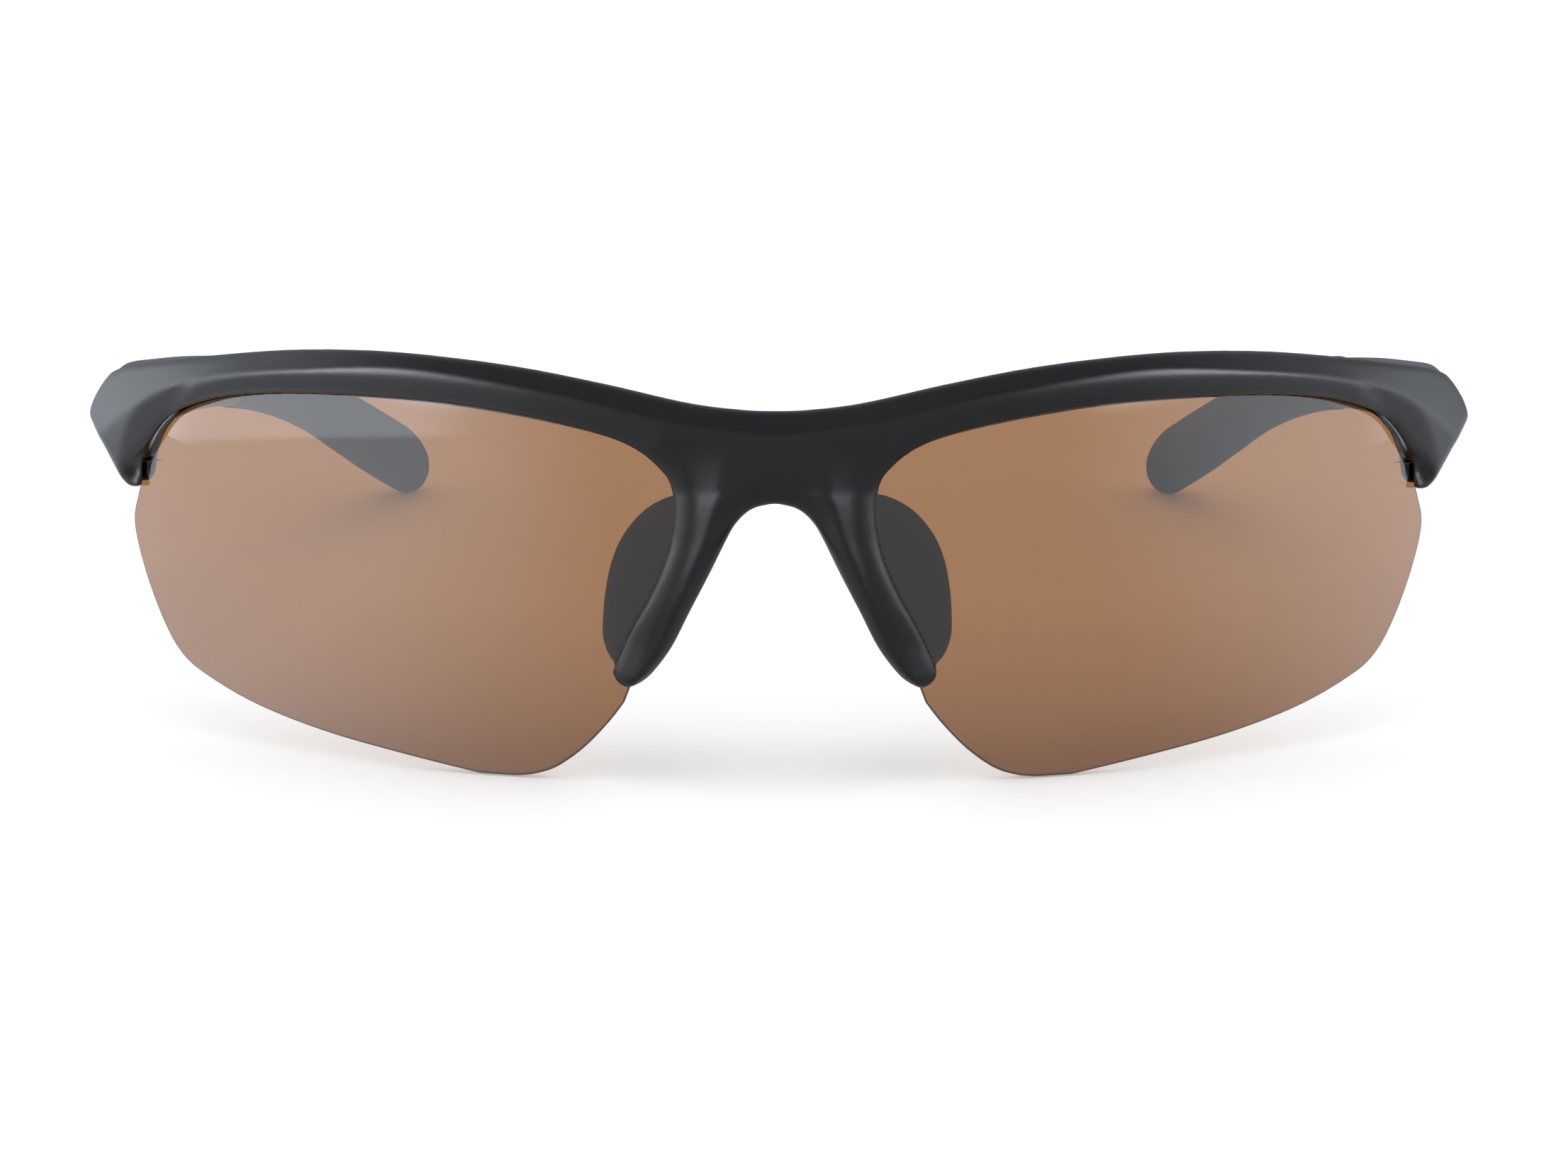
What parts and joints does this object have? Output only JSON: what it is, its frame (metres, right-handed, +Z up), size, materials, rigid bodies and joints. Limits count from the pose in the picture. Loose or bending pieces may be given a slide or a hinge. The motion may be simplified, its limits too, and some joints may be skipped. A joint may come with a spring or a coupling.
{
  "type": "wraparound sport sunglasses",
  "caption": "Half-rim wraparound sport sunglasses: ball-curved brown lenses in a matte charcoal front, rubber nose pads and arms that fold on screwed barrel hinges.",
  "frame": {"origin": "on the surface that the glasses stand on, under the centre of their bounding box", "axes": "+Z up, +X to the wearer's left, the lenses look along -Y and the open arms run back along +Y"},
  "size_m": [0.1386, 0.1522, 0.0409],
  "materials": {
    "frame_plastic": "matte charcoal nylon",
    "lens_tint": "clear brown tint, polished",
    "rubber": "matte soft rubber",
    "tip_rubber": "matte soft rubber",
    "steel": "satin"
  },
  "bodies": {
    "front": {"front_frame": "frame_plastic", "lens_left": "lens_tint", "nose_pad_left": "rubber", "nose_pad_core_left": "steel", "hinge_front_left": "steel", "hinge_screw_left": "steel", "lens_right": "lens_tint", "nose_pad_right": "rubber", "nose_pad_core_right": "steel", "hinge_front_right": "steel", "hinge_screw_right": "steel"},
    "arm_left": {"temple_arm_left": "frame_plastic", "temple_tip_left": "tip_rubber", "temple_core_left": "steel", "hinge_temple_left": "steel"},
    "arm_right": {"temple_arm_right": "frame_plastic", "temple_tip_right": "tip_rubber", "temple_core_right": "steel", "hinge_temple_right": "steel"}
  },
  "joints": [
    {"name": "arm_left_fold", "type": "hinge", "parent": "front", "child": "arm_left", "pos_m": [0.0634, -0.0403, 0.0306], "axis": [0, 0, 1], "range_deg": [0, 80]},
    {"name": "arm_right_fold", "type": "hinge", "parent": "front", "child": "arm_right", "pos_m": [-0.0634, -0.0403, 0.0306], "axis": [0, 0, -1], "range_deg": [0, 72]}
  ]
}
